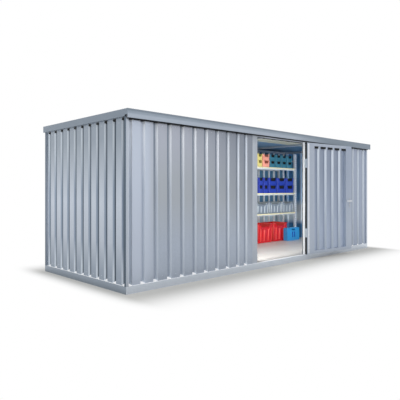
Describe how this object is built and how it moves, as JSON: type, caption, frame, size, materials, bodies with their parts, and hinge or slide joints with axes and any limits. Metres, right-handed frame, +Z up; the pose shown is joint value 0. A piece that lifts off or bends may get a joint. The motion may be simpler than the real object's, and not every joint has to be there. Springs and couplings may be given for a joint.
{
  "type": "portable site cabin",
  "caption": "Flat-roofed site cabin of grooved galvanised sheet on a folded steel base frame, with a hinged side door standing open and a rack of storage boxes inside.",
  "frame": {"origin": "on the ground at the middle of the body's plan, on the underside of the middle floor bearer", "axes": "+X along the cabin's length with the door side in front, -Y towards the front, +Z up"},
  "size_m": [6.08, 2.3537, 2.15],
  "materials": {
    "galvanised_sheet": "mill galvanised, faint spangle",
    "galvanised_frame": "galvanised, satin",
    "door_frame": "pale grey, satin",
    "hinge_steel": "zinc plated",
    "lever": "satin",
    "lock_plate": "satin",
    "deck": "pale film-faced board, matt",
    "rack_steel": "light grey, satin",
    "board": "raw chipboard, matt",
    "yellow_plastic": "moulded",
    "orange_plastic": "moulded",
    "teal_plastic": "moulded",
    "blue_plastic": "moulded",
    "grey_plastic": "moulded",
    "red_plastic": "moulded",
    "light_blue_plastic": "moulded"
  },
  "bodies": {
    "cabin": {"front_sill": "galvanised_frame", "rear_sill": "galvanised_frame", "left_sill": "galvanised_frame", "right_sill": "galvanised_frame", "floor_bearers": "galvanised_frame", "floor_deck": "deck", "corner_posts": "galvanised_frame", "right_wall": "galvanised_sheet", "left_wall": "galvanised_sheet", "rear_wall": "galvanised_sheet", "front_wall_left": "galvanised_sheet", "front_wall_right": "galvanised_sheet", "door_post_left": "door_frame", "door_post_right": "door_frame", "door_header": "door_frame", "front_top_rail": "galvanised_frame", "rear_top_rail": "galvanised_frame", "left_top_rail": "galvanised_frame", "right_top_rail": "galvanised_frame", "roof_bearers": "galvanised_frame", "roof_sheet": "galvanised_sheet", "front_fascia": "galvanised_frame", "rear_fascia": "galvanised_frame", "left_fascia": "galvanised_frame", "right_fascia": "galvanised_frame", "hinge_post_halves": "hinge_steel", "rack_end_frames": "rack_steel", "rack_beams": "rack_steel", "rack_boards": "board", "yellow_boxes": "yellow_plastic", "orange_boxes": "orange_plastic", "teal_boxes": "teal_plastic", "blue_boxes": "blue_plastic", "grey_tubs": "grey_plastic", "red_crates": "red_plastic", "blue_case": "light_blue_plastic"},
    "door": {"door_hinge_stile": "galvanised_sheet", "door_lock_stile": "galvanised_sheet", "door_rails": "galvanised_sheet", "door_sheet": "galvanised_sheet", "hinge_leaf_halves": "hinge_steel", "lock_plates": "lock_plate"},
    "handle": {"lever_pair": "lever"}
  },
  "joints": [
    {"name": "door_hinge", "type": "hinge", "parent": "cabin", "child": "door", "pos_m": [0.6926, -1.044, 1.0525], "axis": [0, 0, -1], "range_deg": [0, 173.5]},
    {"name": "lever_turn", "type": "hinge", "parent": "door", "child": "handle", "pos_m": [1.90933, -1.18263, 1], "axis": [-0.1132, -0.9936, 0], "range_deg": [0, 45], "stiffness_Nm_per_rad": 1.5, "springref_deg": -34.38}
  ]
}
